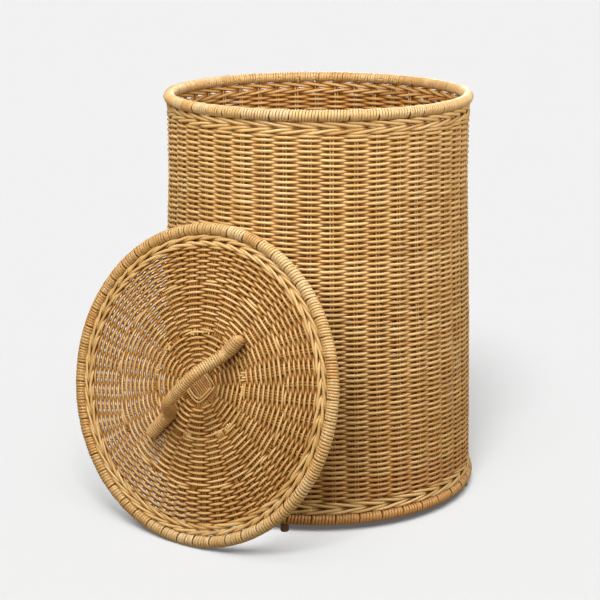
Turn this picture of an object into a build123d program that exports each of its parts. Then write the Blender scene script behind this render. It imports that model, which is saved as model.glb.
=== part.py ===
from build123d import *
import math
import os

# A round rattan laundry basket with a loose round lid that leans on its side.
# Millimetres, +Z up, floor at Z = 0, the basket's front towards -Y.
# Everything is first built around the basket's own axis, then moved by BASKET_X and BASKET_Y,
# so that the origin is the middle of the whole footprint, basket and leaning lid together.
BASKET_X = 52.6
BASKET_Y = 58.6

# Basket: two wrapped rim hoops with a tapering woven wall between them
RIM_TUBE_R = 7.5
RIM_CORE_R = 5.2
TOP_RIM_R = 202.5
TOP_RIM_Z = 549.5
BOTTOM_RIM_R = 215.0
BOTTOM_RIM_Z = 18.0
WALL_THICK = 9.0
WALL_OUTLINE = [(24.0, 218.4), (250.0, 213.2), (440.0, 206.3), (544.0, 206.0)]  # (Z, outer radius)
WALE_BAND = 8.0
ROD_R = 1.7
ROD_GAP = 3.6
STAKE_PAIRS = 43
STAKE_TURN = -90.0 - 0.40 * 360 / STAKE_PAIRS  # degrees from +X of the first pair

# Feet: four pegs under the bottom rim
FOOT_R = 5.5
FOOT_RING_R = 212.5
FOOT_TOP_Z = 12.0
FOOT_ROUNDING = 2.0
FOOT_TURN = 11.6  # degrees from -Y towards -X for the first peg
FOOT_NAMES = ["foot_front", "foot_left", "foot_back", "foot_right"]

# Base: a woven disc just above the bottom rim
BASE_Z = 34.0
BASE_THICK = 9.0
BASE_SPLIT_R = 110.0
BASE_INNER_GROUPS = 21
BASE_SPOKE_END_R = 200.0

# Centre of the base and of the lid: two crossed layers of short sticks
CROSS_STICKS = 8
CROSS_ROD_R = 1.65
CROSS_HALF = 34.0
CENTRE_HOLE_R = 22.0
SPOKE_START_R = 38.5
SPOKE_R = 1.45
SPOKE_GAP = 3.1
SPLICE_GAP = 1.0

# Lid: a flat woven disc with a wrapped rim and a handle
LID_RIM_R = 201.0
LID_TUBE_R = 8.0
LID_CORE_R = 5.6
LID_PANEL_THICK = 9.0
LID_WALE_BAND = 7.6
LID_SPLITS = [69.0, 131.0]  # radii at which more spokes are let in
LID_GROUPS = [13, 25, 49]
LID_RODS = [4, 4, 2]
LID_OFFSETS = [0.16, 0.76, 0.64]  # how far each ring's first group lies back, in steps
LID_SPOKE_END_R = 192.0

# Handle: a bent rod on the lid's outer face, its two lying ends bound to the lid.
# It rises steeply at its low end and comes down gently to its high end.
HANDLE_TURN = 50.0  # degrees from the lid's sideways axis
HANDLE_ASIDE = -2.2  # its line passes this far from the lid's centre
HANDLE_FOOT_R = 9.0
HANDLE_ARCH_R = 8.2
HANDLE_ROD_R = 5.5
HANDLE_FOOT_END = 62.0
HANDLE_LYING = LID_PANEL_THICK / 2 + HANDLE_FOOT_R
HANDLE_LOW_END = (-96.0, HANDLE_LYING)  # (along, above the lid's middle)
HANDLE_BENDS = [  # (along, above the lid's middle, radius of the bend)
    (-54.0, HANDLE_LYING, 14.0),
    (-31.5, 40.5, 16.0),
    (0.0, 42.5, 80.0),
    (27.0, 41.0, 40.0),
    (63.0, HANDLE_LYING, 20.0),
]
HANDLE_HIGH_END = (95.0, HANDLE_LYING)

# Lid at rest: standing on its rim and leaning inwards on the wall
LID_AZIMUTH = 33.5  # the outer face looks this far from -Y towards -X
LID_LEAN = 13.1
LID_BEARING = 35.0  # the lid's centre lies this far from -Y towards -X
LID_STANDOFF = 261.8  # from the basket's axis to the lid's centre


def wall_radius(z):
    """Outer radius of the wall at a height."""
    for (z0, r0), (z1, r1) in zip(WALL_OUTLINE, WALL_OUTLINE[1:]):
        if z <= z1:
            return r0 + (r1 - r0) * (z - z0) / (z1 - z0)
    return WALL_OUTLINE[-1][1]


def heading(angle):
    """Unit direction in the floor plane, turned from -Y towards -X."""
    turn = math.radians(angle)
    return Vector(-math.sin(turn), -math.cos(turn), 0)


def hoop(radius, tube, z=0.0):
    """A closed ring of round section."""
    return Pos(0, 0, z) * Torus(radius, tube)


def rim_wrap(radius, tube, core, z=0.0):
    """The cane wrapped round a rim's core."""
    return hoop(radius, tube, z) - hoop(radius, core, z)


def wall_band(z0, z1):
    """One height band of the basket's wall."""
    heights = [z0] + [z for z, _ in WALL_OUTLINE if z0 < z < z1] + [z1]
    outer = [(wall_radius(z), z) for z in heights]
    inner = [(r - WALL_THICK, z) for r, z in reversed(outer)]
    profile = Plane.XZ * make_face(Polyline(*outer, *inner, close=True))
    return revolve(profile, Axis.Z)


def wall_cavity():
    """The space inside the wall."""
    heights = [z for z, _ in WALL_OUTLINE]
    edge = [(wall_radius(z) - WALL_THICK, z) for z in heights]
    profile = Plane.XZ * make_face(
        Polyline((0, heights[0]), *edge, (0, heights[-1]), close=True)
    )
    return revolve(profile, Axis.Z)


def stake():
    """One upright rod that follows the middle of the wall."""
    low = BOTTOM_RIM_Z + RIM_TUBE_R + 1.5
    high = TOP_RIM_Z - RIM_TUBE_R - 1.0
    heights = [low] + [z for z, _ in WALL_OUTLINE if low < z < high] + [high]
    points = [(wall_radius(z) - WALL_THICK / 2, 0, z) for z in heights]
    path = Polyline(*points)
    section = Plane(origin=path @ 0, z_dir=path % 0) * Circle(ROD_R)
    return sweep(section, path=path, transition=Transition.RIGHT)


def around(solid, count, phase=0.0):
    """Copies of a solid at even steps around Z."""
    return [Rot(0, 0, phase + 360.0 * i / count) * solid for i in range(count)]


def side_stakes():
    """Pairs of upright rods, evenly round the wall."""
    rod = stake()
    rods = []
    for side in (-0.5, 0.5):
        rods += around(Pos(0, side * ROD_GAP, 0) * rod, STAKE_PAIRS, STAKE_TURN)
    return rods


def disc(radius, thick, hole=0.0):
    """A flat disc about z = 0, with a round hole where one is asked for."""
    body = Cylinder(radius, thick)
    if hole:
        body -= Cylinder(hole, thick)
    return body


def radial_rod(start, end, side=0.0):
    """A thin rod that runs outwards along X."""
    turned = Rot(0, 90, 0) * Cylinder(SPOKE_R, end - start)
    return Pos((start + end) / 2, side, 0) * turned


def spoke_ring(groups, rods, start, end, turn=0.0):
    """Groups of parallel rods, like the spokes of a wheel."""
    found = []
    for i in range(rods):
        side = (i - (rods - 1) / 2) * SPOKE_GAP
        found += around(radial_rod(start, end, side), groups, turn)
    return found


def cross_sticks(turn):
    """Two crossed layers of short sticks, from which the weaving starts."""
    sticks = []
    for layer, angle in ((1, turn), (-1, turn + 90)):
        for i in range(CROSS_STICKS):
            side = (i - (CROSS_STICKS - 1) / 2) * 2 * (CROSS_ROD_R + 0.1)
            rod = Rot(0, 90, 0) * Cylinder(CROSS_ROD_R, 2 * CROSS_HALF)
            sticks.append(Rot(0, 0, angle) * Pos(0, side, layer * (CROSS_ROD_R + 0.02)) * rod)
    return sticks


def foot(angle):
    """A short round peg whose top follows the bottom rim."""
    peg = Pos(0, 0, FOOT_TOP_Z / 2) * Cylinder(FOOT_R, FOOT_TOP_Z)
    peg = fillet(peg.edges().sort_by(Axis.Z)[0], FOOT_ROUNDING)
    peg = Pos(heading(angle) * FOOT_RING_R) * peg
    return peg - hoop(BOTTOM_RIM_R, RIM_TUBE_R, BOTTOM_RIM_Z)


def base_parts():
    """The woven bottom: crossed sticks, spokes and weave."""
    low = BASE_Z - BASE_THICK / 2
    weave = Pos(0, 0, BASE_Z) * disc(BOTTOM_RIM_R, BASE_THICK, CENTRE_HOLE_R)
    weave = weave & wall_cavity()
    inner = spoke_ring(BASE_INNER_GROUPS, 4, SPOKE_START_R, BASE_SPLIT_R - SPLICE_GAP / 2)
    outer_start = BASE_SPLIT_R + SPLICE_GAP / 2
    outer = spoke_ring(STAKE_PAIRS, 2, outer_start, BASE_SPOKE_END_R, STAKE_TURN)
    lift = Pos(0, 0, low + BASE_THICK / 2)
    return {
        "base_weave": [weave],
        "base_cross_sticks": [lift * s for s in cross_sticks(0)],
        "base_inner_spokes": [lift * s for s in inner],
        "base_outer_spokes": [lift * s for s in outer],
    }


def basket_parts():
    """Every piece of the basket itself."""
    wall_low = BOTTOM_RIM_Z + RIM_TUBE_R + 0.5
    wall_high = TOP_RIM_Z - RIM_TUBE_R - 0.5
    levels = {
        "bottom_wale_lower": (wall_low - 2.0, wall_low + WALE_BAND),
        "bottom_wale_upper": (wall_low + WALE_BAND, wall_low + 2 * WALE_BAND),
        "side_weave": (wall_low + 2 * WALE_BAND, wall_high - 2 * WALE_BAND),
        "top_wale_lower": (wall_high - 2 * WALE_BAND, wall_high - WALE_BAND),
        "top_wale_upper": (wall_high - WALE_BAND, wall_high + 2.0),
    }
    parts = {name: [wall_band(*span)] for name, span in levels.items()}
    bottom_hoop = hoop(BOTTOM_RIM_R, RIM_TUBE_R, BOTTOM_RIM_Z)
    top_hoop = hoop(TOP_RIM_R, RIM_TUBE_R, TOP_RIM_Z)
    parts["bottom_wale_lower"] = [parts["bottom_wale_lower"][0] - bottom_hoop]
    parts["top_wale_upper"] = [parts["top_wale_upper"][0] - top_hoop]
    parts["side_stakes"] = side_stakes()
    parts["top_rim_core"] = [hoop(TOP_RIM_R, RIM_CORE_R, TOP_RIM_Z)]
    parts["top_rim_wrap"] = [rim_wrap(TOP_RIM_R, RIM_TUBE_R, RIM_CORE_R, TOP_RIM_Z)]
    parts["bottom_rim_core"] = [hoop(BOTTOM_RIM_R, RIM_CORE_R, BOTTOM_RIM_Z)]
    parts["bottom_rim_wrap"] = [
        rim_wrap(BOTTOM_RIM_R, RIM_TUBE_R, RIM_CORE_R, BOTTOM_RIM_Z)
    ]
    for i, name in enumerate(FOOT_NAMES):
        parts[name] = [foot(FOOT_TURN + 90 * i)]
    parts.update(base_parts())
    return parts


def handle_path():
    """Centreline of the handle along X, above the lid's outer face."""
    corners = [(along, above) for along, above, _ in HANDLE_BENDS]
    points = [(along, 0, above) for along, above in [HANDLE_LOW_END, *corners, HANDLE_HIGH_END]]
    return FilletPolyline(*points, radius=[bend for _, _, bend in HANDLE_BENDS])


def handle_tube(radius):
    """A round bar along the handle's centreline."""
    path = handle_path()
    section = Plane(origin=path @ 0, z_dir=path % 0) * Circle(radius)
    return sweep(section, path=path)


def handle_parts():
    """The bent rod, the cane round its arch and the bindings of its two ends."""
    rod = handle_tube(HANDLE_ROD_R)
    foot_cane = handle_tube(HANDLE_FOOT_R) - rod
    arch_cane = handle_tube(HANDLE_ARCH_R) - rod
    arch_box = Box(2 * HANDLE_FOOT_END, 60, 120)
    low_box = Pos(-2 * HANDLE_FOOT_END, 0, 0) * arch_box
    high_box = Pos(2 * HANDLE_FOOT_END, 0, 0) * arch_box
    place = Rot(0, 0, HANDLE_TURN) * Pos(0, HANDLE_ASIDE, 0)
    return {
        "handle_rod": [place * rod],
        "handle_binding_low": [place * (foot_cane & low_box)],
        "handle_binding_high": [place * (foot_cane & high_box)],
        "handle_wrap": [place * (arch_cane & arch_box)],
    }


def lid_parts():
    """Every piece of the lid, flat about z = 0 with its outer face up."""
    band_edge = LID_RIM_R - LID_TUBE_R + 0.6
    splits = [SPOKE_START_R - SPLICE_GAP / 2] + LID_SPLITS
    ends = LID_SPLITS + [LID_SPOKE_END_R + SPLICE_GAP / 2]
    weave_r = band_edge - 2 * LID_WALE_BAND
    rim = hoop(LID_RIM_R, LID_TUBE_R)
    parts = {
        "lid_rim_core": [hoop(LID_RIM_R, LID_CORE_R)],
        "lid_rim_wrap": [rim_wrap(LID_RIM_R, LID_TUBE_R, LID_CORE_R)],
        "lid_wale_outer": [
            disc(LID_RIM_R, LID_PANEL_THICK, weave_r + LID_WALE_BAND) - rim
        ],
        "lid_wale_inner": [disc(weave_r + LID_WALE_BAND, LID_PANEL_THICK, weave_r)],
        "lid_weave": [disc(weave_r, LID_PANEL_THICK, CENTRE_HOLE_R)],
        "lid_cross_sticks": cross_sticks(HANDLE_TURN),
    }
    names = ["lid_inner_spokes", "lid_middle_spokes", "lid_outer_spokes"]
    rings = zip(names, LID_GROUPS, LID_RODS, LID_OFFSETS, splits, ends)
    for name, groups, rods, offset, split, end in rings:
        start, turn = split + SPLICE_GAP / 2, -offset * 360 / groups
        parts[name] = spoke_ring(groups, rods, start, end - SPLICE_GAP / 2, turn)
    parts.update(handle_parts())
    return parts


def lid_place():
    """Where the lid stands: its sideways axis level, its outer face leaning back."""
    lean = math.radians(LID_LEAN)
    outward = heading(LID_AZIMUTH)
    normal = outward * math.cos(lean) + Vector(0, 0, math.sin(lean))
    sideways = Vector(0, 0, 1).cross(normal).normalized()
    centre = heading(LID_BEARING) * LID_STANDOFF
    centre += Vector(0, 0, LID_RIM_R * math.cos(lean) + LID_TUBE_R)
    return Plane(origin=centre, x_dir=sideways, z_dir=normal).location


def write(parts, place):
    """One STEP file for each node."""
    for name, solids in parts.items():
        placed = [place * piece for item in solids for piece in item.solids()]
        whole = placed[0] if len(placed) == 1 else Compound(children=placed)
        whole.label = name
        export_step(whole, f"parts/{name}.step")


os.makedirs("parts", exist_ok=True)
basket_place = Pos(BASKET_X, BASKET_Y, 0)
write(basket_parts(), basket_place)
write(lid_parts(), basket_place * lid_place())
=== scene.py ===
"""Looks of the woven rattan laundry basket and its loose lid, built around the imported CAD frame.

The basket stands on its axis, and the lid leans on it. Every strand of rattan is a swept tube
with its own tint and its own grain coordinates, which the rattan materials read.
"""

import math

import bpy
import numpy as np
from mathutils import Matrix, Vector


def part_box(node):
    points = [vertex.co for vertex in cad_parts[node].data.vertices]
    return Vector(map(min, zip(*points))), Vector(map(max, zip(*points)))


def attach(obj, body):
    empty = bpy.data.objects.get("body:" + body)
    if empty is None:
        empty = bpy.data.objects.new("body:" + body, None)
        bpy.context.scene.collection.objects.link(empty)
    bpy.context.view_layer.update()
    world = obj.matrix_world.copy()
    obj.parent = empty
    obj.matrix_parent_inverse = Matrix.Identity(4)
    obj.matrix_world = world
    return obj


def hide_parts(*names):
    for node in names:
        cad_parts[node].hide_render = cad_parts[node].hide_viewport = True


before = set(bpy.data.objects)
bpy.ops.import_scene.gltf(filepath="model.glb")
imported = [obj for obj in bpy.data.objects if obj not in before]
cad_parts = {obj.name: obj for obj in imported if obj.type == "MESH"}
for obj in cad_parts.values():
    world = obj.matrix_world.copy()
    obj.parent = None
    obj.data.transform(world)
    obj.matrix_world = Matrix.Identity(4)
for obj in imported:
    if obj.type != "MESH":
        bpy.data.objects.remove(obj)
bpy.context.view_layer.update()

MM = 0.001
TAU = 2 * math.pi

# Basket wall
STAKES = 43  # pairs of stakes round the wall
STAKE_TURN = -0.40 * TAU / STAKES  # where the first pair stands, from -Y towards +X
STAKE_LEAN = 0.022  # how far round the stakes have turned at their feet, in radians
STAKE_LEAN_END = 260 * MM  # they stand straight above this height
STAKE_R = 1.42 * MM
STAKE_GAP = 3.6 * MM  # between the two stakes of a pair
WALL_OUTLINE = [(24, 218.4), (250, 213.2), (440, 206.3), (544, 206.0)]  # height, outer radius
WALL_HALF = 4.5 * MM  # half the thickness of the wall
SIDE_ROW = 3.54 * MM  # height of one row of the weave
SIDE_PARTS = 4  # pieces that the weave is shared out to
SIDE_LENGTHS = (0.35, 0.6)  # shortest and longest length of weaver, as shares of a turn
SIDE_SHARP = 0.75  # how flat the weaver lies over the stakes
LEVEL_TURN = 0.7  # the weaver's first and last turns run level for this much of the round
EVEN_EDGE = 20 * MM  # the rows even out over this height at both edges of the weave
WALE_BAND = 8 * MM  # height of one ring of wale

# Weaving strands
WEAVER_HALF = 2.12 * MM  # half the strand's width along the wall
WEAVER_DEEP = 1.8 * MM  # half its thickness through the wall
WEAVER_OVERLAP = 0.42  # a length of weaver runs on at each end by this many stakes
DISC_OVERLAP = 0.4
END_STEP = 0.45  # a strand is drawn in over this share of its radius at its ends
END_SCALE = 0.62  # to this share of its size
TUCK = 1.3 * MM  # the ends of a length lie this much behind the rest
TUCK_REACH = 0.6  # and come forward over this many stakes
WALE_HALF = 2.2 * MM
WALE_DEEP = 1.8 * MM
WALE_OVERLAP = 0.12
WALE_SHARP = 2.2  # how quickly a wale strand goes from the front to the back of the stakes
WALE_SPILL = 0.6 * MM  # the strands pass the edges of their band by this much
LID_WALE_SPILL = 0.2 * MM
WALE_CLOSER = 0.5 * MM  # the outermost wales are pushed this much against the rims
WALL_ROOM = WALL_HALF - WEAVER_DEEP  # how far a weaver lies from the middle of the wall
INNER_PAINTED_LIGHT = 0.45  # painted shade: share of painted light left on the face turned into the weave
GRAIN_SPAN = 9  # each strand starts at a random place of the grain pattern
LOW_PAINTED_SHADE = 0.48  # painted shade: the foot of the wall is tinted browner
LOW_PAINTED_SHADE_END = 300 * MM

# Cane wound round the rims and the handle
CANE_DEEP = 0.95 * MM  # half its thickness
HANDLE_CANE_DEEP = 1.05 * MM
WOUND_STEPS = 18  # points in each turn
HANDLE_STEPS = 20
GAP_REACH = 1.4  # the turns lean away from a gap over this many turns
CORE_INSET = 2.0 * MM  # the round core is this much slimmer than the wound rim

# Lid and base discs: the spokes are let in at each split
SPLITS = [25 * MM, 69 * MM, 131 * MM]
GROUPS = [13, 25, 49]  # groups of spokes in each ring
RODS = [4, 4, 2]  # spokes in each group
OFFSETS = [0.16, 0.76, 0.64]  # how far each ring's first group lies back, in steps
ROWS = [3.75 * MM, 3.6 * MM, 3.6 * MM]
DISC_SHARP = [1.1, 0.9, 0.4]
SPOKE_R = 1.5 * MM
STUB = 5 * MM  # the inner ends of let-in spokes rise to the face over this length
STUB_LIFT = 2.6 * MM
STUB_SHARE = 0.4  # share of the middle ring's groups that do
SPOKE_FAN = 0.18  # the spokes of a group spread by this share towards their outer ends
DISC_EDGE = 0.2  # painted shade: share of painted light left where its rows touch
DISC_FALL = 1.9  # how far that painted shade spreads from the rows' edges
DISC_LEVEL = 0.37  # painted light where a disc's weaver crosses its middle; lower paints more shade
DISC_SWING = 2.2 * MM  # how far a disc's weaver lies from its middle
DISC_WEAVER_HALF = 1.84 * MM
SPOKE_GAP = 3.1 * MM  # between the spokes of a group
LID_RIM_R = 201 * MM
LID_TUBE_R = 8 * MM
LID_RIM_TONES = (0.05, 0.45, 0.12, -math.pi / 2)  # brownest on its left
LID_WALE_BAND = 7.6 * MM
LID_AZIMUTH = 33.5  # the outer face looks this far from -Y towards -X
LID_LEAN = 13.1  # and upwards, both in degrees
CROSS_RODS = 8
CROSS_ROD_R = 1.65 * MM
CROSS_HALF = 26 * MM  # half the length of the crossed sticks
LACE_R = 15.2 * MM  # radius of the inner strand bound round them
LACE_STEP = 3.7 * MM  # from it to the outer strand
LACE_SWING = 3.4 * MM  # how far both lie from the middle of the disc
LACE_HALF = 1.7 * MM
LACE_DEEP = 1.4 * MM

# Handle, along its own X axis, with heights above the lid's middle plane. Its plain lengths
# are in millimetres.
HANDLE_TURN = 50.0  # degrees from the lid's sideways axis
HANDLE_ASIDE = -2.2  # off the lid's centre
HANDLE_LYING = 13.5  # height of the feet's centreline
HANDLE_LOW_END = (-96, HANDLE_LYING)
HANDLE_BENDS = [  # along, height, radius of the bend
    (-54, HANDLE_LYING, 14), (-31.5, 40.5, 16), (0, 42.5, 80), (27, 41, 40), (63, HANDLE_LYING, 20),
]
HANDLE_HIGH_END = (95, HANDLE_LYING)
HANDLE_FOOT_R = 9.0 * MM
HANDLE_ROD_R = 5.5 * MM
HANDLE_ROD_INSET = 1.3 * MM  # from the outside of the cane
HANDLE_FOOT_END = 62 * MM
HANDLE_ELBOW = -44 * MM  # painted shade: the cane is tinted brownest here
ELBOW_PAINTED_SHADE = 0.3  # painted shade: browner by this much
ELBOW_SHADE_REACH = 16 * MM
HANDLE_TINTS = (0.28, 0.55)
HANDLE_PITCH = 3.2 * MM  # from turn to turn on the arch
BINDING_PITCH = 3.5 * MM  # and on both feet
BINDING_SLANT = 0.12  # how far the turns on the feet lie aslant
HANDLE_OUTLINE = [  # along, outer radius
    (-96, 7.4), (-92, 8.8), (-62, 9.0), (-42, 9.8), (-24, 8.2), (50, 8.1), (62, 8.3), (70, 8.9),
    (91, 9.1), (95, 7.4),
]


# ---- places in the frame


def middle(node):
    """Centre of a CAD node's box."""
    low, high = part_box(node)
    return (low + high) / 2


def level_ring(node):
    """Ring radius, tube radius and height of a level hoop in the CAD."""
    low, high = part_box(node)
    tube = (high.z - low.z) / 2
    return (high.x - low.x) / 2 - tube, tube, (high.z + low.z) / 2


def basket_place():
    """Basket coordinates: the axis is Z, and angle 0 faces -Y."""
    axis = middle("top_rim_core")
    return Matrix.Translation((axis.x, axis.y, 0))


def lid_place():
    """Lid coordinates: X sideways, Y up the lid, Z out of its outer face."""
    turn, lean = math.radians(LID_AZIMUTH), math.radians(LID_LEAN)
    across = Vector((math.cos(turn), -math.sin(turn), 0))
    out = Vector(
        (-math.sin(turn) * math.cos(lean), -math.cos(turn) * math.cos(lean), math.sin(lean))
    )
    up = out.cross(across)
    rows = Matrix((across, up, out)).transposed()
    return Matrix.Translation(middle("lid_rim_core")) @ rows.to_4x4()


def base_place():
    """Base coordinates: like the lid's, level, at the height of the base's rods."""
    return Matrix.Translation((*basket_place().translation.xy, middle("base_outer_spokes").z))


# ---- strands


class Ripple:
    """Smooth unevenness over an angle and a length: seeded waves that close round the ring."""

    def __init__(self, seed, size, turns, wavelength, waves=14):
        rng = np.random.default_rng(seed)
        self.turns = rng.integers(1, turns + 1, waves)
        self.rates = TAU / wavelength * rng.uniform(0.3, 1.0, waves) * rng.choice([-1, 1], waves)
        self.starts = rng.uniform(0, TAU, waves)
        self.size = size / math.sqrt(waves / 2)

    def __call__(self, angle, along):
        angle, along = np.broadcast_arrays(angle, along)
        waves = np.sin(
            angle[..., None] * self.turns + along[..., None] * self.rates + self.starts
        )
        return self.size * waves.sum(-1)


def around_strand(sides):
    """Sine of the turn round a strand: 1 on its outer face, and 0 on its two edges."""
    return np.sin(np.arange(sides) * TAU / sides)


def woven_painted_light(lift, room, level=0.5, edge=0.5, fall=1.0, sides=8):
    """Painted light of a weaver: deep painted shade (0) on the side turned into the weave, 1 where
    it shows outside.

    lift is how far it lies from the middle of the weave, room the most it can, level the painted
    light where it crosses the middle, and edge the share left where rows touch, a painted shade
    which spreads further with fall. The inner face gets less painted light than the outer one.
    """
    turn = around_strand(sides)
    facing = level + (1 - level) * np.asarray(lift, float)[:, None] * turn / room
    edges = edge + (1 - edge) * np.abs(turn) ** fall
    return np.clip(facing * edges * np.where(turn < -0.1, INNER_PAINTED_LIGHT, 1.0), 0, 1)


def wound_painted_light(fall=1.0, sides=8):
    """Painted light of wound cane: full on the outer face, painted shade where the turns touch."""
    return (0.05 + 0.95 * np.clip(around_strand(sides), 0, 1) ** fall)[None]


def rod_painted_light(most=0.55, fall=1.0, sides=8):
    """Painted light of a rod in the weave: highest on both faces, painted shade between neighbours.
    """
    return most * (0.1 + 0.9 * np.abs(around_strand(sides)) ** fall)[None]


class Strands:
    """Swept strands gathered into one mesh, with a tint and grain coordinates at each point."""

    def __init__(self, rng=None):
        self.rng = rng
        self.points, self.grain, self.tint, self.painted_light = [], [], [], []
        self.quads, self.ends = [], []
        self.count = 0

    def add(self, path, out, half, deep, tint, painted_light):
        """A strand along path. half is its half width across out, and deep its half depth.

        The painted light, which paints shade on the strand, has one column for each side of the
        strand, and one row, or as many as the path.
        """
        path, out = np.asarray(path, float), np.asarray(out, float)
        along = np.gradient(path, axis=0)
        along /= np.linalg.norm(along, axis=1, keepdims=True)
        up = out - (out * along).sum(1, keepdims=True) * along
        up /= np.linalg.norm(up, axis=1, keepdims=True)
        across = np.cross(along, up)
        rows = len(path)
        half = np.broadcast_to(half, rows)[:, None, None]
        deep = np.broadcast_to(deep, rows)[:, None, None]
        sides = painted_light.shape[1]
        painted_light = np.broadcast_to(painted_light, (rows, sides))
        turn = np.arange(sides) * TAU / sides
        cos, sin = np.cos(turn)[None, :, None], np.sin(turn)[None, :, None]
        rings = path[:, None] + half * cos * across[:, None] + deep * sin * up[:, None]
        steps = np.linalg.norm(np.diff(path, axis=0), axis=1)
        start = self.rng.uniform(0, GRAIN_SPAN) if self.rng else 0.0
        run = start + np.concatenate([[0], np.cumsum(steps)])
        grain = np.empty((rows, sides, 3))
        grain[..., 0], grain[..., 1], grain[..., 2] = cos[..., 0], sin[..., 0], run[:, None]
        index = self.count + np.arange(rows * sides).reshape(rows, sides)
        after = np.roll(index, -1, axis=1)
        quads = np.stack([index[:-1], after[:-1], after[1:], index[1:]], -1)
        self.points.append(rings.reshape(-1, 3))
        self.grain.append(grain.reshape(-1, 3))
        self.tint.append(np.full(rows * sides, tint))
        self.painted_light.append(painted_light.ravel())
        self.quads.append(quads.reshape(-1, 4))
        self.ends += [index[0][::-1], index[-1]]
        self.count += rows * sides

    def take(self, other):
        """Adds another set of strands to this one."""
        self.points += other.points
        self.grain += other.grain
        self.tint += other.tint
        self.painted_light += other.painted_light
        self.quads += [quad + self.count for quad in other.quads]
        self.ends += [end + self.count for end in other.ends]
        self.count += other.count

    def mesh(self, name):
        """One mesh of all the strands, closed at their ends."""
        quads = np.concatenate(self.quads)
        loops = np.concatenate([quads.ravel(), *self.ends])
        sizes = np.concatenate([np.full(len(quads), 4), [len(end) for end in self.ends]])
        starts = np.concatenate([[0], np.cumsum(sizes)[:-1]])
        mesh = bpy.data.meshes.new(name)
        mesh.vertices.add(self.count)
        mesh.vertices.foreach_set("co", np.concatenate(self.points).ravel())
        mesh.loops.add(len(loops))
        mesh.loops.foreach_set("vertex_index", loops.astype(np.int32))
        mesh.polygons.add(len(sizes))
        mesh.polygons.foreach_set("loop_start", starts.astype(np.int32))
        mesh.polygons.foreach_set("use_smooth", np.ones(len(sizes), bool))
        mesh.update(calc_edges=True)
        # The second attribute is painted shade, which the rattan materials darken each point by.
        for label, values in (("tint", self.tint), ("painted_light", self.painted_light)):
            field = mesh.attributes.new(label, "FLOAT", "POINT")
            field.data.foreach_set("value", np.concatenate(values))
        grain = mesh.attributes.new("grain", "FLOAT_VECTOR", "POINT")
        grain.data.foreach_set("vector", np.concatenate(self.grain).ravel())
        mesh.validate()
        return mesh


def rounded_ends(path, out, radius):
    """The path with a short extra step at each end, and the scale of the strand along it."""
    path, out = np.asarray(path, float), np.asarray(out, float)
    first = path[0] - path[1]
    last = path[-1] - path[-2]
    step = END_STEP * radius
    first *= step / np.linalg.norm(first)
    last *= step / np.linalg.norm(last)
    path = np.concatenate([[path[0] + first], path, [path[-1] + last]])
    out = np.concatenate([out[:1], out, out[-1:]])
    scale = np.ones(len(path))
    scale[[0, -1]] = END_SCALE
    return path, out, scale


def with_ends(values):
    """Values along a path, repeated for the extra steps of rounded_ends."""
    return np.concatenate([values[:1], values, values[-1:]])


def length_steps(at, reach, overlap, each):
    """Places along one length of a strand, in stakes, with an overlap at both ends."""
    return np.arange(at - overlap, at + reach + overlap, 1 / each)


def tucked(places):
    """How far a length of weaver lies behind its usual path, which it does at its ends."""
    from_end = np.minimum(places - places[0], places[-1] - places)
    return TUCK * np.clip(1 - from_end / TUCK_REACH, 0, 1) ** 2


def wander(rng, at, size):
    """Unevenness along wound turns, with one random value at each turn."""
    knots = np.arange(int(at[-1]) + 2)
    return np.interp(at, knots, rng.normal(0, size, len(knots)))


def pick_tint(rng):
    """Most strands are pale or honey, a few are orange."""
    if rng.random() < 0.04:
        return rng.uniform(0.75, 0.9)
    return rng.uniform(0.1, 0.6)


# ---- materials


class Nodes:
    """Short hand for building one node material."""

    def __init__(self, name):
        self.material = bpy.data.materials.new(name)
        self.material.use_nodes = True
        self.tree = self.material.node_tree
        self.shader = self.tree.nodes["Principled BSDF"]

    def add(self, kind, inputs=None, **settings):
        node = self.tree.nodes.new("ShaderNode" + kind)
        for key, value in settings.items():
            setattr(node, key, value)
        for key, value in (inputs or {}).items():
            self.feed(node, key, value)
        return node

    def feed(self, node, key, value):
        socket = node.inputs[key]
        if isinstance(value, bpy.types.NodeSocket):
            self.tree.links.new(value, socket)
        else:
            socket.default_value = value

    def maths(self, operation, a, b):
        return self.add("Math", {0: a, 1: b}, operation=operation).outputs[0]

    def noise(self, vector, scale, detail=3.0, roughness=0.55):
        inputs = {"Vector": vector, "Scale": scale, "Detail": detail, "Roughness": roughness}
        return self.add("TexNoise", inputs).outputs["Fac"]

    def stretch(self, vector, scale):
        return self.add("Mapping", {"Vector": vector, "Scale": scale}).outputs[0]

    def ramp(self, value, stops):
        node = self.add("ValToRGB", {"Fac": value})
        ramp = node.color_ramp
        while len(ramp.elements) < len(stops):
            ramp.elements.new(0.5)
        for element, (place, colour) in zip(ramp.elements, stops):
            element.position = place
            element.color = (*colour, 1)
        return node.outputs["Color"]

    def multiply(self, colour, factor):
        mix = self.add("Mix", data_type="RGBA", blend_type="MULTIPLY")
        mix.inputs["Factor"].default_value = 1.0
        self.feed(mix, 6, colour)
        self.feed(mix, 7, factor)
        return mix.outputs[2]


PALE = (0.79, 0.54, 0.235)
HONEY = (0.66, 0.405, 0.14)
BROWN = (0.53, 0.29, 0.08)
ORANGE = (0.56, 0.28, 0.08)
CANE_PALE = (0.67, 0.51, 0.285)
CANE_HONEY = (0.64, 0.41, 0.16)
PAINTED_DEPTH_SHADE = (0.29, 0.145, 0.042)  # painted shade: darkens what lies deep between strands
# painted shade, lighter, where strands touch
PAINTED_EDGE_SHADE = (0.64, 0.475, 0.29)


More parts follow.
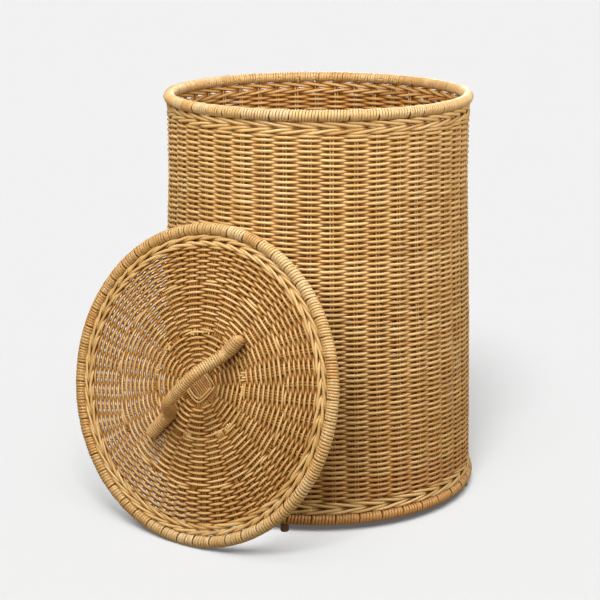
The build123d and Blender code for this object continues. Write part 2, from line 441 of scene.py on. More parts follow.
def rattan(name, colours, roughness, coat, streaks=0.22):
    """Split cane or rod: a tint for each strand, grain along it, and pale shiny skin."""
    n = Nodes(name)
    tint = n.add("Attribute", attribute_name="tint").outputs["Fac"]
    grain = n.add("Attribute", attribute_name="grain").outputs["Vector"]
    long_grain = n.noise(n.stretch(grain, (1.6, 1.6, 22)), 1.0, 4.0, 0.65)
    fine_grain = n.noise(n.stretch(grain, (5, 5, 60)), 1.0, 3.0, 0.6)
    blotch = n.noise(n.stretch(grain, (0.35, 0.35, 34)), 1.0, 2.0, 0.5)
    shifted = n.maths("ADD", tint, n.maths("MULTIPLY", n.maths("SUBTRACT", blotch, 0.5), 0.7))
    colour = n.ramp(shifted, [(0.0, colours[0]), (0.42, colours[1]), (0.78, colours[2]),
                              (0.95, colours[3])])
    dark = 1.0 - streaks
    shade = n.ramp(long_grain, [(0.28, (dark, dark * 0.93, dark * 0.85)), (0.5, (0.96,) * 3),
                                (0.72, (1.1, 1.09, 1.06))])
    colour = n.multiply(colour, shade)
    # Painted shade: a strand's own attribute darkens it where it lies deep, at its edges and on its
    # inner face, and dims its coat and specular there too.
    painted_light = n.add("Attribute", attribute_name="painted_light").outputs["Fac"]
    depth = n.ramp(painted_light, [(0.0, PAINTED_DEPTH_SHADE), (0.26, PAINTED_EDGE_SHADE), (0.52, (1.0, 1.0, 1.0))])
    colour = n.multiply(colour, depth)
    n.feed(n.shader, "Base Color", colour)
    shine = n.maths("MINIMUM", n.maths("MULTIPLY", painted_light, 1.6), 1.0)
    n.feed(n.shader, "Coat Weight", n.maths("MULTIPLY", shine, coat))
    n.feed(n.shader, "Specular IOR Level", n.maths("MULTIPLY", shine, 0.5))
    rough = n.maths("ADD", n.maths("MULTIPLY", fine_grain, 0.22), roughness - 0.11)
    n.feed(n.shader, "Roughness", rough)
    n.shader.inputs["Coat Roughness"].default_value = 0.38
    n.shader.inputs["Sheen Weight"].default_value = 0.05
    relief = n.maths("ADD", long_grain, n.maths("MULTIPLY", fine_grain, 0.5))
    bump = n.add("Bump", {"Height": relief, "Strength": 0.35, "Distance": 0.0003})
    n.feed(n.shader, "Normal", bump.outputs["Normal"])
    return n.material


def peg_wood():
    """Dark turned wood, with its grain along the peg."""
    n = Nodes("peg_wood")
    place = n.add("TexCoord").outputs["Object"]
    grain = n.noise(n.stretch(place, (420, 420, 30)), 1.0, 5.0, 0.6)
    colour = n.ramp(grain, [(0.3, (0.10, 0.055, 0.026)), (0.7, (0.26, 0.155, 0.078))])
    n.feed(n.shader, "Base Color", colour)
    n.feed(n.shader, "Roughness", n.maths("ADD", n.maths("MULTIPLY", grain, 0.3), 0.4))
    bump = n.add("Bump", {"Height": grain, "Strength": 0.3, "Distance": 0.0004})
    n.feed(n.shader, "Normal", bump.outputs["Normal"])
    return n.material


def floor_paint():
    """Matt paint that glows a little, so that the shadows on it stay light."""
    n = Nodes("studio_floor")
    matt = n.add("BsdfDiffuse", {"Color": (FLOOR_TONE, FLOOR_TONE, FLOOR_TONE, 1)})
    glow = n.add("Emission", {"Color": (FLOOR_GLOW, FLOOR_GLOW, FLOOR_GLOW, 1), "Strength": 1.0})
    both = n.add("AddShader", {0: matt.outputs[0], 1: glow.outputs[0]})
    n.tree.links.new(both.outputs[0], n.tree.nodes["Material Output"].inputs["Surface"])
    return n.material


# ---- pieces


def put(name, strands, place, body, looks, slot, node=None):
    """Makes a piece of the gathered strands, riding on a body and standing for a CAD node.

    The node has the piece's own name, unless another is given.
    """
    piece = f"rattan_{name}"
    obj = bpy.data.objects.new(piece, strands.mesh(piece))
    bpy.context.scene.collection.objects.link(obj)
    obj.data.materials.append(looks[slot])
    obj.data.transform(place)
    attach(obj, body)
    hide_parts(node or name)
    return obj


def wall_middle(z):
    """Radius of the middle of the wall at a height."""
    heights, radii = zip(*WALL_OUTLINE)
    return np.interp(z, np.array(heights) * MM, np.array(radii) * MM) - WALL_HALF


def round_wall(angle, radius, z):
    """Points of the basket at an angle from -Y towards +X, and the outward directions."""
    angle, radius, z = np.broadcast_arrays(angle, radius, z)
    out = np.stack([np.sin(angle), -np.cos(angle), np.zeros_like(angle)], -1)
    path = radius[..., None] * out
    path[..., 2] = z
    return path, out


STAKE_RIPPLE = Ripple(3, 0.0042, 24, 0.5)
ROW_WAVE = Ripple(5, 0.55 * MM, 9, 0.3)
STRAND_SWELL = Ripple(7, 0.05, 30, 0.2)


def stake_sway(angle, z):
    """How far round the stakes stray at a height: a lean near their feet, and unevenness."""
    return STAKE_RIPPLE(angle, z) + STAKE_LEAN * np.clip(1 - z / STAKE_LEAN_END, 0, 1)


def swing(turns, sharp):
    """Front and back of the stakes in turn, from 1 to -1, flatter over them when sharp is high."""
    return np.tanh(sharp * np.cos(math.pi * turns)) / math.tanh(sharp)


def side_weave():
    """One continuous weaver round the wall, cut into lengths whose ends lie inside."""
    low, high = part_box("side_weave")
    rng = np.random.default_rng(11)
    bottom, top = low.z + SIDE_ROW / 2, high.z - SIDE_ROW / 2
    last = int(((top - bottom) / SIDE_ROW + LEVEL_TURN) * STAKES)
    parts = [Strands(rng) for _ in range(SIDE_PARTS)]
    at = -int(LEVEL_TURN * STAKES)
    while at < last:
        reach = min(2 * round(rng.uniform(*SIDE_LENGTHS) * STAKES), last - at)
        q = length_steps(at, reach, WEAVER_OVERLAP, 6)
        z = np.clip(bottom + SIDE_ROW * q / STAKES, bottom, top)
        angle = TAU * q / STAKES + STAKE_TURN
        wave = ROW_WAVE(angle, z) * np.clip((z - bottom) / EVEN_EDGE, 0, 1)
        z = z + wave * np.clip((top - z) / EVEN_EDGE, 0, 1)
        size = rng.uniform(0.93, 1.05) * (1 + STRAND_SWELL(angle, z))
        offset = WALL_ROOM * swing(q, SIDE_SHARP) - tucked(q)
        path, out = round_wall(angle + stake_sway(angle, z), wall_middle(z) + offset, z)
        path, out, scale = rounded_ends(path, out, WEAVER_DEEP)
        size = with_ends(size) * scale
        which = min(max(int(SIDE_PARTS * (at + reach / 2) / last), 0), SIDE_PARTS - 1)
        # Painted shade: weavers near the foot of the wall get browner tints.
        tint = pick_tint(rng) + LOW_PAINTED_SHADE * max(0, 1 - z[0] / LOW_PAINTED_SHADE_END)
        # Painted shade where the weaver turns into the weave, and on its inner face.
        painted_light = woven_painted_light(with_ends(offset), WALL_ROOM)
        parts[which].add(path, out, WEAVER_HALF * size, WEAVER_DEEP * size, tint, painted_light)
        at += reach
    return parts


def side_stakes():
    """Pairs of upright rods, from inside the bottom hoop to inside the top one."""
    low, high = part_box("side_stakes")
    rng = np.random.default_rng(12)
    made = Strands(rng)
    z = np.linspace(low.z, high.z, 70)
    for pair in range(STAKES):
        for side in (-0.5, 0.5):
            angle = TAU * pair / STAKES + STAKE_TURN
            angle = angle + stake_sway(angle, z) + side * STAKE_GAP / wall_middle(z)
            path, out = round_wall(angle, wall_middle(z), z)
            size = STAKE_R * rng.uniform(0.94, 1.06)
            # Painted shade: the stakes are darkened, most between neighbours.
            made.add(path, out, size, size, rng.uniform(0.2, 0.85), rod_painted_light())
    return made


def wale_ring(point, count, half_band, depth, lean, seed):
    """Three strands twisted round the stakes: two show in front of each stake, one behind.

    point(turns, sideways, depthways) gives the path and its outward directions.
    """
    rng = np.random.default_rng(seed)
    made = Strands(rng)
    for strand in range(3):
        q = 0.0
        while q < count:
            reach = min(rng.uniform(14, 22), count - q)
            at = length_steps(q, reach, WALE_OVERLAP, 8)
            phase = TAU * (at + strand) / 3 + math.pi / 3
            swung = np.tanh(WALE_SHARP * (np.cos(phase) + 0.1)) / math.tanh(WALE_SHARP)
            side = lean * half_band * np.sin(phase)
            path, out = point(at, side, depth * swung)
            path, out, scale = rounded_ends(path, out, WALE_DEEP)
            size = rng.uniform(0.95, 1.04) * scale
            # Painted shade where the wale strands pass behind the stakes.
            painted_light = woven_painted_light(with_ends(depth * swung), WALL_ROOM)
            made.add(path, out, WALE_HALF * size, WALE_DEEP * size, pick_tint(rng), painted_light)
            q += reach
    return made


def wall_wale(z, lean, seed):
    """A wale ring on the wall. lean is 1 or -1, the way it is twisted."""

    def point(at, side, depth):
        angle = TAU * at / STAKES + STAKE_TURN
        height = z + side
        return round_wall(angle + stake_sway(angle, z), wall_middle(height) + depth, height)

    half_band = WALE_BAND / 2 - WALE_HALF + WALE_SPILL
    return wale_ring(point, STAKES, half_band, WALL_HALF - WALE_DEEP, lean, seed)


def uneven_notches(radius, shortest, longest, seed):
    """Angles round a hoop at uneven steps, which close round it."""
    rng = np.random.default_rng(seed)
    steps = rng.uniform(shortest, longest, round(TAU * radius / (0.5 * (shortest + longest))))
    return TAU * np.cumsum(steps) / steps.sum()


def ring_wrap(radius, z, tube, notch, notch_angles, wedges, pitch, tones, seed):
    """Cane wound round a hoop, bunched between the stakes, with a wedge-shaped gap at each.

    notch is the angle round the tube at which the gaps open, from outward towards up, wedges
    the narrowest and widest gap. tones makes the tints browner: all round, then on the near
    side and on the far side as well, and turns the near side round the hoop by its last value.
    """
    rng = np.random.default_rng(seed)
    made = Strands(rng)
    spans = np.diff(np.append(notch_angles, notch_angles[0] + TAU))
    for first, span in zip(notch_angles, spans):
        turns = max(4, round(span * radius / pitch + rng.uniform(-0.35, 0.35)))
        at = np.arange(0, turns * WOUND_STEPS + 1) / WOUND_STEPS
        around = TAU * at + math.pi
        share = np.clip(at + wander(rng, at, 0.05), 0, turns) / turns
        open_up = np.clip(np.cos(around - notch), 0, 1) ** 0.8
        wedge = rng.uniform(*wedges) / radius
        push = wedge * open_up * (np.exp(-at / GAP_REACH) - np.exp((at - turns) / GAP_REACH))
        angle = first + span * share + push
        reach = (tube - CANE_DEEP) * (1 + wander(rng, at, 0.025))
        out_flat = np.stack([np.sin(angle), -np.cos(angle), np.zeros_like(angle)], -1)
        out = np.cos(around)[:, None] * out_flat + np.sin(around)[:, None] * [0, 0, 1.0]
        path = radius * out_flat + reach[:, None] * out + [0, 0, z]
        half = 0.49 * span * radius / turns
        all_round, near_side, far_side, turn = tones
        near = math.cos(first + span / 2 - turn)
        tone = all_round + near_side * max(near, 0) + far_side * max(-near, 0)
        tint = tone + 0.75 * pick_tint(rng)
        # Painted shade where the wound turns touch.
        made.add(path, out, half, CANE_DEEP, tint, wound_painted_light())
    return made


def hoop(radius, z, tube):
    """The round core inside a wrapped rim."""
    made = Strands()
    angle = np.linspace(0, TAU, 241)
    path, out = round_wall(angle, radius, z)
    path[-1] = path[0]
    # Painted shade: the core is darkened where it shows between the turns.
    made.add(path, out, tube, tube, 0.3, np.full((1, 12), 0.2))
    return made


def on_disc(angle, radius, height):
    """Points of a disc at an angle from its X axis, and its upward directions."""
    angle, radius, height = np.broadcast_arrays(angle, radius, height)
    path = np.stack([radius * np.cos(angle), radius * np.sin(angle), height], -1)
    return path, np.broadcast_to([0.0, 0.0, 1.0], path.shape)


def disc_weave(end_radius, groups, offsets, seed, sway):
    """A spiral weaver over and under the groups of spokes, from the middle outwards."""
    rng = np.random.default_rng(seed)
    made = Strands(rng)
    edges = [*SPLITS, end_radius]
    for zone, count in enumerate(groups):
        start, end = edges[zone], edges[zone + 1]
        turns = round((end - start) / ROWS[zone])
        row = (end - start) / turns
        at, last = 0.0, turns * count
        while at < last - 0.5:
            reach = min(round(rng.uniform(0.22, 0.34) / start * count), last - at)
            q = length_steps(at, reach, DISC_OVERLAP, 8)
            angle = TAU * (q - offsets[zone]) / count
            radius = start + row * (q / count + 0.5)
            height = DISC_SWING * swing(q + 1, DISC_SHARP[zone]) - tucked(q)
            wave = sway(angle, radius) * 0.12
            path, out = on_disc(angle + sway(angle, radius), radius + wave * radius, height)
            path, out, scale = rounded_ends(path, out, WEAVER_DEEP)
            half = DISC_WEAVER_HALF * rng.uniform(0.95, 1.03)
            # Painted shade where the weaver dips between the spokes, at its edges and on its inner
            # face.
            painted_light = woven_painted_light(with_ends(height), DISC_SWING, DISC_LEVEL, DISC_EDGE, DISC_FALL)
            made.add(path, out, half * scale, WEAVER_DEEP * scale, pick_tint(rng), painted_light)
            at += reach
    return made


def spoke_zone(zone, count, offset, end, seed, sway):
    """One ring of straight spokes in groups, slightly fanned."""
    rng = np.random.default_rng(seed)
    made = Strands(rng)
    start, rods = SPLITS[zone], RODS[zone]
    for group in range(count):
        angle = TAU * (group - offset) / count
        shown = rng.random() < STUB_SHARE and zone == 1
        for rod in range(rods):
            side = (rod - (rods - 1) / 2) * SPOKE_GAP
            first = start - rng.uniform(0.5, 4.5) * MM
            radius = np.linspace(first, end + rng.uniform(0.5, 3) * MM, 22)
            spread = 1 + SPOKE_FAN * (radius - start) / (end - start)
            turn = angle + sway(angle, radius) + side * spread / radius
            near = np.exp(-(((radius - first) / STUB) ** 2)) * shown
            path, out = on_disc(turn, radius, STUB_LIFT * near + rng.uniform(-0.3, 0.3) * MM)
            path, out, scale = rounded_ends(path, out, SPOKE_R)
            size = SPOKE_R * rng.uniform(0.93, 1.05) * scale
            # Painted shade: spokes lie dark in the weave, lighter where their stubs rise to the
            # face.
            painted_light = with_ends(0.24 + 0.6 * near)[:, None] * rod_painted_light(1.0)
            made.add(path, out, size, size, rng.uniform(0.0, 0.6), painted_light)
    return made


def cross_sticks(turn, seed):
    """Two crossed layers of short rods, and the strands bound round them."""
    rng = np.random.default_rng(seed)
    made = Strands(rng)
    along = np.linspace(-CROSS_HALF, CROSS_HALF, 14)
    edge = CROSS_RODS * CROSS_ROD_R
    sink = np.clip((np.abs(along) - edge) / (CROSS_HALF - edge), 0, 1)
    turned_axes = [[math.cos(turn), math.sin(turn)], [-math.sin(turn), math.cos(turn)]]
    for layer, height in ((0, -CROSS_ROD_R), (1, CROSS_ROD_R)):
        for rod in range(CROSS_RODS):
            side = (rod - (CROSS_RODS - 1) / 2) * 2 * CROSS_ROD_R
            flat = np.stack([along, np.full_like(along, side)], -1)
            if layer == 1:
                flat = flat[:, ::-1]
            path = np.column_stack([flat @ turned_axes, height * (1 - sink)])
            out = np.broadcast_to([0.0, 0.0, 1.0], path.shape)
            path, out, scale = rounded_ends(path, out, CROSS_ROD_R)
            size = CROSS_ROD_R * rng.uniform(0.92, 1.0) * scale
            # Painted shade: browner tints and dark sides, for the handle's shadow over the crossed
            # sticks.
            made.add(path, out, size, size, rng.uniform(0.4, 0.8), rod_painted_light(0.5, 2.5))
    angle = np.linspace(0, TAU, 97)
    square = (np.cos(angle) ** 4 + np.sin(angle) ** 4) ** -0.25
    for lap in range(2):
        for strand in (1, -1):
            radius = square * (LACE_R + LACE_STEP * lap)
            height = strand * LACE_SWING * np.tanh(2 * np.cos(2 * angle))
            path, out = on_disc(angle + turn, radius, height)
            path[-1] = path[0]
            # Painted shade along the sides of the bound strands.
            made.add(path, out, LACE_HALF, LACE_DEEP, pick_tint(rng), rod_painted_light(0.7, 2.5))
    return made


def lid_wale(radius, lean, seed):
    """A wale ring on the lid. lean is 1 or -1, the way it is twisted."""

    def point(at, side, depth):
        angle = TAU * (at - OFFSETS[2]) / GROUPS[2]
        return on_disc(angle + LID_SWAY(angle, radius), radius + side, depth)

    half_band = LID_WALE_BAND / 2 - WALE_HALF + LID_WALE_SPILL
    return wale_ring(point, GROUPS[2], half_band, WALL_HALF - WALE_DEEP, lean, seed)


# ---- handle


def rounded_route(points, bends, step):
    """Evenly spaced points along straight runs whose corners are arcs."""
    points = [np.array(p, float) for p in points]
    route = [points[0]]
    for before, corner, after, bend in zip(points, points[1:], points[2:], bends):
        to_before = (before - corner) / np.linalg.norm(before - corner)
        to_after = (after - corner) / np.linalg.norm(after - corner)
        half = math.acos(np.clip(to_before @ to_after, -1, 1)) / 2
        inward = (to_before + to_after) / np.linalg.norm(to_before + to_after)
        centre = corner + inward * bend / math.sin(half)
        first = corner + to_before * bend / math.tan(half) - centre
        last = corner + to_after * bend / math.tan(half) - centre
        for share in np.linspace(0, 1, 13):
            blend = (1 - share) * first + share * last
            route.append(centre + blend * bend / np.linalg.norm(blend))
    route.append(points[-1])
    route = np.array(route)
    run = np.concatenate([[0], np.cumsum(np.linalg.norm(np.diff(route, axis=0), axis=1))])
    even = np.arange(0, run[-1], step)
    return np.column_stack([np.interp(even, run, route[:, i]) for i in range(2)]), even


def handle_route():
    """The handle's centreline in its own plane, in metres, with the length along it."""
    corners = [HANDLE_LOW_END, *[(x, z) for x, z, _ in HANDLE_BENDS], HANDLE_HIGH_END]
    bends = [bend * MM for _, _, bend in HANDLE_BENDS]
    return rounded_route(np.array(corners) * MM, bends, 0.5 * MM)


def handle_run(x):
    """Length along the handle at which it passes x."""
    route, run = handle_route()
    return np.interp(x, route[:, 0], run)


def handle_point(along):
    """Centre and upward side of the handle at a length along it."""
    route, run = handle_route()
    step = 1.5 * MM
    where, ahead, behind = (
        np.column_stack([np.interp(along + shift, run, route[:, i]) for i in range(2)])
        for shift in (0, step, -step)
    )
    heading = ahead - behind
    heading /= np.linalg.norm(heading, axis=1, keepdims=True)
    level = np.zeros(len(where))
    centre = np.column_stack([where[:, 0], level, where[:, 1]])
    up = np.column_stack([-heading[:, 1], level, heading[:, 0]])
    return centre, up


def turned(path, aside=HANDLE_ASIDE * MM):
    """From the handle's own plane to the lid's coordinates."""
    turn = math.radians(HANDLE_TURN)
    cos, sin = math.cos(turn), math.sin(turn)
    matrix = np.array([[cos, sin, 0], [-sin, cos, 0], [0, 0, 1]])
    return (np.asarray(path) + [0, aside, 0]) @ matrix


def handle_radius(along):
    """Outer radius of the wound handle: thick feet, a thick elbow and a slimmer arch."""
    places, radii = np.array(HANDLE_OUTLINE).T * MM
    return np.interp(along, handle_run(places), radii)


def handle_binding(start, end, pitch, slant, seed):
    """Cane wound round the handle between two lengths along it."""
    rng = np.random.default_rng(seed)
    made = Strands(rng)
    turns = round((end - start) / pitch)
    at = np.arange(0, turns * HANDLE_STEPS + 1) / HANDLE_STEPS
    around = TAU * at
    share = np.clip(at + wander(rng, at, 0.04), 0, turns) / turns
    level_along = start + (end - start) * share
    along = level_along + slant * HANDLE_FOOT_R * np.sin(around)
    centre, up = handle_point(np.clip(along, 0.1 * MM, None))
    side = np.array([0, 1.0, 0])
    out = np.cos(around)[:, None] * up + np.sin(around)[:, None] * side
    reach = (handle_radius(level_along) - HANDLE_CANE_DEEP) * (1 + wander(rng, at, 0.015))
    path = centre + reach[:, None] * out
    half = 0.455 * (end - start) / turns
    elbow = handle_run(HANDLE_ELBOW)
    cut, last = 0, len(path) - 1
    while cut < last:
        stop = min(cut + HANDLE_STEPS * int(rng.integers(5, 9)), last)
        if last - stop < HANDLE_STEPS:
            stop = last
        piece = slice(cut, stop + 1)
        # Painted shade: turns near the elbow get browner tints.
        from_elbow = (along[cut:stop].mean() - elbow) / ELBOW_SHADE_REACH
        tint = rng.uniform(*HANDLE_TINTS) + ELBOW_PAINTED_SHADE * math.exp(-(from_elbow**2))
        # Painted shade in the grooves between the turns.
        made.add(
            turned(path[piece]), turned(out[piece], 0), half, HANDLE_CANE_DEEP, tint,
            wound_painted_light(3.0),
        )
        cut = stop
    return made


def handle_rod():
    """The bent rod inside the bindings, with its cut ends showing."""
    made = Strands()
    route, run = handle_route()
    along = np.arange(0, run[-1], 2 * MM)
    centre, up = handle_point(np.clip(along, 0.1 * MM, None))
    radius = handle_radius(along) - HANDLE_ROD_INSET
    path, out, scale = rounded_ends(centre, up, HANDLE_ROD_R)
    size = with_ends(radius) * scale
    made.add(turned(path), turned(out, 0), size, size, 0.0, np.full((1, 20), 0.6))
    return made


# ---- feet


def peg(node, name, material):
    """A short turned peg with eased edges, standing for one foot."""
    low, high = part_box(node)
    radius, height = (high.x - low.x) / 2, high.z - low.z
    ease = 0.8 * MM
    profile = [  # radius and height, from the floor up, with a fine groove half way
        (radius - 2.2 * ease, 0), (radius - ease, 0.12 * ease),
        (radius - 0.3 * ease, 0.35 * ease), (radius, ease), (radius, 0.45 * height),
        (radius - 0.3 * ease, 0.5 * height), (radius, 0.55 * height),
        (radius, height - 0.2 * ease), (radius - 0.6 * ease, height),
    ]
    sides = 40
    turn = np.arange(sides) * TAU / sides
    points = [(r * math.cos(a), r * math.sin(a), z) for r, z in profile for a in turn]
    faces = []
    for row in range(len(profile) - 1):
        for i in range(sides):
            j = (i + 1) % sides
            faces.append((row * sides + i, row * sides + j, (row + 1) * sides + j,
                          (row + 1) * sides + i))
    faces.append(tuple(range(sides))[::-1])
    faces.append(tuple((len(profile) - 1) * sides + i for i in range(sides)))
    mesh = bpy.data.meshes.new(name)
    mesh.from_pydata(points, [], faces)
    mesh.polygons.foreach_set("use_smooth", [True] * (len(faces) - 2) + [False] * 2)
    mesh.materials.append(material)
    mesh.transform(Matrix.Translation(((low.x + high.x) / 2, (low.y + high.y) / 2, low.z)))
    obj = bpy.data.objects.new(name, mesh)
    bpy.context.scene.collection.objects.link(obj)
    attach(obj, "basket")
    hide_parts(node)
    return obj


# ---- assembling

LID_SWAY = Ripple(21, 0.012, 12, 0.1)
BASE_SWAY = Ripple(22, 0.012, 12, 0.1)


def build_basket(looks):
    """The wall, its wales, both rims and the feet."""
    place = basket_place()
    for number, part in enumerate(side_weave(), 1):
        put(f"side_weave_{number}", part, place, "basket", looks, "weaver_rattan", "side_weave")
    put("side_stakes", side_stakes(), place, "basket", looks, "stake_rattan")
    half = WALE_BAND / 2
    wales = {
        "bottom_wale_lower": (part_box("bottom_wale_lower")[1].z - half - WALE_CLOSER, 1),
        "bottom_wale_upper": (middle("bottom_wale_upper").z, -1),
        "top_wale_lower": (middle("top_wale_lower").z, 1),
        "top_wale_upper": (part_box("top_wale_upper")[0].z + half + WALE_CLOSER, -1),
    }
    for seed, (node, (z, lean)) in enumerate(wales.items(), 31):
        put(node, wall_wale(z, lean, seed), place, "basket", looks, "wale_rattan")
    top_r, _, _ = level_ring("top_rim_wrap")
    at_stakes = TAU * np.arange(STAKES) / STAKES + STAKE_TURN + STAKE_LEAN
    rims = {  # where the gaps open, their angles, their widths and the pitch in mm, the tones
        "top": (-1.25, uneven_notches(top_r, 20 * MM, 42 * MM, 40), (0.8, 2.2), 3.82,
                (0.1, -0.1, 0.2, 0)),
        # painted shade: the bottom rim's cane is tinted browner all round, and more on its near
        # side
        "bottom": (1.0, at_stakes, (0.9, 1.8), 4.32, (0.45, 0.25, 0, 0)),
    }
    for seed, (end, (notch, angles, wedges, pitch, tones)) in enumerate(rims.items(), 41):
        radius, tube, z = level_ring(f"{end}_rim_wrap")
        wedges = np.array(wedges) * MM
        wrap = ring_wrap(radius, z, tube, notch, angles, wedges, pitch * MM, tones, seed)
        put(f"{end}_rim_wrap", wrap, place, "basket", looks, "wrapping_cane")
        core = hoop(radius, z, tube - CORE_INSET)
        put(f"{end}_rim_core", core, place, "basket", looks, "hoop_core")
    for side in ("front", "left", "back", "right"):
        peg(f"foot_{side}", f"peg_{side}", looks["peg_wood"])


def build_base(looks):
    """The woven disc inside the bottom rim."""
    place = base_place()
    end = wall_middle(middle("base_outer_spokes").z) - WALL_HALF
    groups = [13, 25, STAKES]
    offsets = [0.0, 0.0, STAKES / 4 + 0.40]  # the outer ring meets the wall's stakes
    weave = disc_weave(end, groups, offsets, 51, BASE_SWAY)
    put("base_weave", weave, place, "basket", looks, "weaver_rattan")
    put("base_cross_sticks", cross_sticks(0.0, 52), place, "basket", looks, "stake_rattan")
    inner = Strands()
    for zone in (0, 1):
        ring = spoke_zone(zone, groups[zone], 0.0, SPLITS[zone + 1], 53 + zone, BASE_SWAY)
        inner.take(ring)
    put("base_inner_spokes", inner, place, "basket", looks, "stake_rattan")
    outer = spoke_zone(2, groups[2], offsets[2], end, 56, BASE_SWAY)
    put("base_outer_spokes", outer, place, "basket", looks, "stake_rattan")


def build_lid(looks):
    """Every piece of the lid."""
    made = []

    def add(name, strands, slot):
        made.append(put(name, strands, lid_place(), "lid", looks, slot))

    band_edge = LID_RIM_R - LID_TUBE_R + 0.6 * MM
    weave_end = band_edge - 2 * LID_WALE_BAND
    add("lid_weave", disc_weave(weave_end, GROUPS, OFFSETS, 61, LID_SWAY), "weaver_rattan")
    names = ["lid_inner_spokes", "lid_middle_spokes", "lid_outer_spokes"]
    ends = [SPLITS[1], SPLITS[2], LID_RIM_R - LID_TUBE_R]
    for zone, (name, end) in enumerate(zip(names, ends)):
        ring = spoke_zone(zone, GROUPS[zone], OFFSETS[zone], end, 62 + zone, LID_SWAY)
        add(name, ring, "stake_rattan")
    add("lid_cross_sticks", cross_sticks(math.radians(HANDLE_TURN), 66), "stake_rattan")
    add("lid_wale_inner", lid_wale(weave_end + LID_WALE_BAND / 2, 1, 67), "wale_rattan")
    add("lid_wale_outer", lid_wale(weave_end + 1.5 * LID_WALE_BAND, -1, 68), "wale_rattan")
    notches = TAU * (np.arange(GROUPS[2]) + 0.5 - OFFSETS[2]) / GROUPS[2]
    wedges = (0.3 * MM, 1.2 * MM)
    wrap = ring_wrap(
        LID_RIM_R, 0.0, LID_TUBE_R, 2.4, notches, wedges, 4.03 * MM, LID_RIM_TONES, 69
    )
    add("lid_rim_wrap", wrap, "wrapping_cane")
    add("lid_rim_core", hoop(LID_RIM_R, 0.0, LID_TUBE_R - CORE_INSET), "hoop_core")
    _, run = handle_route()
    low, high = handle_run(-HANDLE_FOOT_END), handle_run(HANDLE_FOOT_END)
    bindings = {
        "handle_binding_low": (0.0, low, BINDING_PITCH, BINDING_SLANT, 71),
        "handle_wrap": (low, high, HANDLE_PITCH, 0.0, 72),
        "handle_binding_high": (high, run[-1], BINDING_PITCH, -BINDING_SLANT, 73),
    }
    for name, settings in bindings.items():
        add(name, handle_binding(*settings), "wrapping_cane")
    add("handle_rod", handle_rod(), "hoop_core")
    return made


# ---- studio

FLOOR_GLOW = 0.10
FLOOR_TONE = 0.18  # low, and strongly lit, so that the basket's colour doesn't tint it
STUDIO_REACH = 15.0  # how far the floor goes, and where the backdrop stands
CAMERA_BACK = 2.1526  # from the basket's axis
CAMERA_HEIGHT = 0.8309
CAMERA_PITCH = 0.25912  # downwards, in radians
CAMERA_YAW = 0.011524  # to the left, in radians
CAMERA_LENS = 94.93
SKY = [  # height of the direction, from -1 straight down to 1 straight up, and light from it
    (-1.0, (0.28, 0.21, 0.12)), (-0.12, (0.28, 0.21, 0.12)), (0.0, (0.20, 0.19, 0.175)),
    (1.0, (0.26, 0.26, 0.26)),
]
BACKDROP = 0.888  # how bright it glows
FLOOR_SUNS = {  # degrees from -Y towards +X and above level, strength, width in degrees
    "floor_sun": (-4, 48, 12.25, 28),
    "floor_haze": (0, 60, 4.4, 45),
}
LAMPS = {  # degrees from -Y towards +X, degrees above level, watts
    "key": (-35, 62, 28),
    "low_key": (-18, 25, 12),
    "fill": (64, 32, 19),
    "back": (170, 28, 11),
}
LAMP_AWAY = 1.75
LAMP_SIZE = 0.8
LAMP_COLOUR = (1.0, 0.975, 0.94)
LAMPS_LOOK_AT = 0.3  # height on the basket's axis


def studio_sky():
    """A dim sky, with warm light thrown up from below the horizon."""
    world = bpy.data.worlds.new("studio")
    world.use_nodes = True
    tree = world.node_tree
    place = tree.nodes.new("ShaderNodeTexCoord")
    split = tree.nodes.new("ShaderNodeSeparateXYZ")
    share = tree.nodes.new("ShaderNodeMapRange")
    share.inputs["From Min"].default_value = -1.0
    ramp = tree.nodes.new("ShaderNodeValToRGB")
    while len(ramp.color_ramp.elements) < len(SKY):
        ramp.color_ramp.elements.new(0.5)
    for element, (height, colour) in zip(ramp.color_ramp.elements, SKY):
        element.position = 0.5 + 0.5 * height
        element.color = (*colour, 1)
    tree.links.new(place.outputs["Generated"], split.inputs[0])
    tree.links.new(split.outputs["Z"], share.inputs["Value"])
    tree.links.new(share.outputs["Result"], ramp.inputs["Fac"])
    tree.links.new(ramp.outputs["Color"], tree.nodes["Background"].inputs["Color"])
    return world


def build_backdrop(far):
    """A far pale wall all round, which only the camera sees."""
    sides = 64
    turn = [TAU * i / sides for i in range(sides)]
    low = [(far * math.cos(a), far * math.sin(a), -0.1) for a in turn]
    high = [(x, y, 2 * far) for x, y, _ in low]
    faces = [(i, (i + 1) % sides, sides + (i + 1) % sides, sides + i) for i in range(sides)]
    mesh = bpy.data.meshes.new("backdrop")
    mesh.from_pydata(low + high, [], faces)
    n = Nodes("backdrop_paint")
    glow = n.add("Emission", {"Color": (BACKDROP, BACKDROP, BACKDROP, 1), "Strength": 1.0})
    n.tree.links.new(glow.outputs[0], n.tree.nodes["Material Output"].inputs["Surface"])
    mesh.materials.append(n.material)
    wall = bpy.data.objects.new("backdrop", mesh)
    bpy.context.scene.collection.objects.link(wall)
    wall.visible_diffuse = False
    wall.visible_glossy = False
    wall.visible_shadow = False


def aim_lamp(light, turn, rise, at):
    """A lamp that looks at a point from a turn and a rise in degrees."""
    turn, rise = math.radians(turn), math.radians(rise)
    towards = Vector((math.sin(turn) * math.cos(rise), -math.cos(turn) * math.cos(rise),
                      math.sin(rise)))
    lamp = bpy.data.objects.new(light.name, light)
    lamp.location = at + LAMP_AWAY * towards
    lamp.rotation_mode = "QUATERNION"
    lamp.rotation_quaternion = (-towards).to_track_quat("-Z", "Y")
    bpy.context.scene.collection.objects.link(lamp)
    return lamp


def linked_group(name, objects, state):
    """A collection that links a lamp to some objects alone, or to all but them."""
    linked = bpy.data.collections.new(name)
    for obj in objects:
        linked.objects.link(obj)
    for member in linked.collection_objects:
        member.light_linking.link_state = state
    return linked


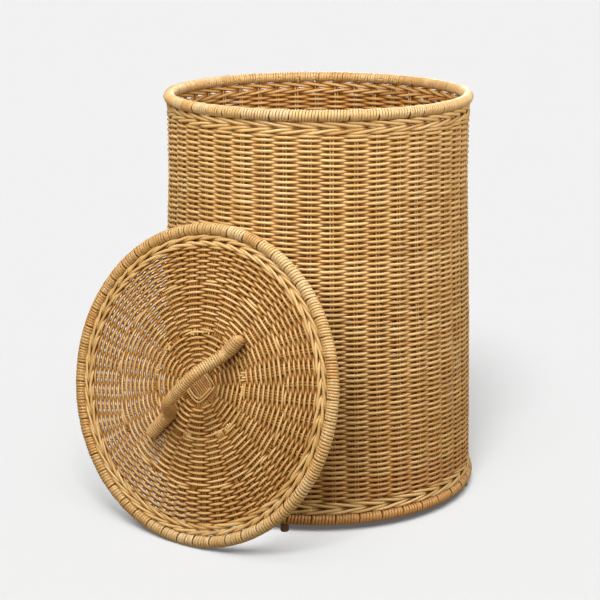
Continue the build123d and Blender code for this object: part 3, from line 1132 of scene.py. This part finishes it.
def build_studio(lid_pieces):
    """Pale floor, a dim sky, soft lamps for the basket, and two high soft suns for the floor.

    The floor's suns shine through the lid's open work, so that its holes look light.
    """
    scene = bpy.context.scene
    scene.view_settings.view_transform = "Standard"
    axis = basket_place().translation
    mesh = bpy.data.meshes.new("floor")
    far = STUDIO_REACH
    mesh.from_pydata([(-far, -far, 0), (far, -far, 0), (far, far, 0), (-far, far, 0)], [],
                     [(0, 1, 2, 3)])
    mesh.materials.append(floor_paint())
    floor = bpy.data.objects.new("floor", mesh)
    scene.collection.objects.link(floor)
    floor.location.z = -0.2 * MM

    floor.visible_diffuse = False
    floor.visible_glossy = False
    build_backdrop(far)
    scene.world = studio_sky()

    target = Vector((axis.x, axis.y, LAMPS_LOOK_AT))
    for name, (turn, rise, power) in LAMPS.items():
        lamp = bpy.data.lights.new(name, "AREA")
        lamp.energy = power
        lamp.shape = "DISK"
        lamp.size = LAMP_SIZE
        lamp.color = LAMP_COLOUR
        linking = aim_lamp(lamp, turn, rise, target).light_linking
        linking.receiver_collection = linked_group(f"unlit_by_{name}", [floor], "EXCLUDE")
    open_work = [piece for piece in lid_pieces if "rim" not in piece.name]
    for name, (turn, rise, strength, width) in FLOOR_SUNS.items():
        sun = bpy.data.lights.new(name, "SUN")
        sun.energy = strength
        sun.angle = math.radians(width)
        linking = aim_lamp(sun, turn, rise, target).light_linking
        linking.receiver_collection = linked_group(f"lit_by_{name}", [floor], "INCLUDE")
        linking.blocker_collection = linked_group(f"lets_{name}_by", open_work, "EXCLUDE")

    data = bpy.data.cameras.new("camera")
    data.lens = CAMERA_LENS
    data.sensor_width = 36
    camera = bpy.data.objects.new("camera", data)
    look = Vector((
        -math.sin(CAMERA_YAW) * math.cos(CAMERA_PITCH),
        math.cos(CAMERA_YAW) * math.cos(CAMERA_PITCH),
        -math.sin(CAMERA_PITCH),
    ))
    camera.location = (axis.x, axis.y - CAMERA_BACK, CAMERA_HEIGHT)
    camera.rotation_mode = "QUATERNION"
    camera.rotation_quaternion = look.to_track_quat("-Z", "Y")
    scene.collection.objects.link(camera)
    scene.camera = camera


looks = {
    "weaver_rattan": rattan("weaver_rattan", [PALE, HONEY, BROWN, ORANGE], 0.45, 0.28),
    "wale_rattan": rattan("wale_rattan", [PALE, HONEY, BROWN, ORANGE], 0.45, 0.28),
    "stake_rattan": rattan("stake_rattan", [PALE, HONEY, BROWN, ORANGE], 0.5, 0.2),
    "wrapping_cane": rattan("wrapping_cane", [CANE_PALE, CANE_HONEY, BROWN, ORANGE], 0.4, 0.35),
    "hoop_core": rattan("hoop_core", [HONEY, BROWN, BROWN, ORANGE], 0.6, 0.0),
    "peg_wood": peg_wood(),
}
build_basket(looks)
build_base(looks)
lid_pieces = build_lid(looks)
build_studio(lid_pieces)
